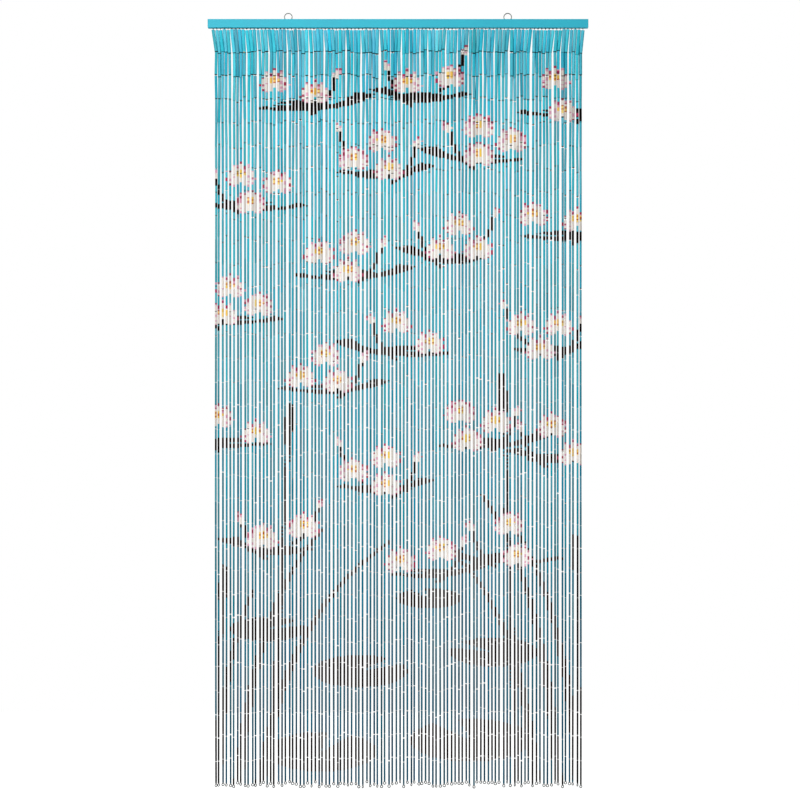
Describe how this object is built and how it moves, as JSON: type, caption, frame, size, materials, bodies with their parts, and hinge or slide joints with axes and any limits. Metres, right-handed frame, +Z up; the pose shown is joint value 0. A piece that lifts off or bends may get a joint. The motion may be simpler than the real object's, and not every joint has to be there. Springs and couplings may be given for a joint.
{
  "type": "bamboo door curtain with its batten",
  "caption": "Door curtain of painted bamboo tubes strung on wire, hanging in a row from a painted wooden batten with screw eyes along its top edge.",
  "frame": {"origin": "midway between the two points where hooks bear on the insides of the screw eyes", "axes": "+Z up along the strands, +X along the batten, the painted front faces -Y"},
  "size_m": [0.991, 0.018, 2.0234],
  "materials": {
    "painted_batten": "satin turquoise paint over softwood",
    "steel_wire": "drawn and zinc plated",
    "painted_bamboo": "bamboo under thin matt paint"
  },
  "bodies": {
    "root": {"batten": "painted_batten", "screw_eye_left": "steel_wire", "screw_eye_right": "steel_wire", "bamboo_strands": "painted_bamboo"}
  },
  "joints": []
}
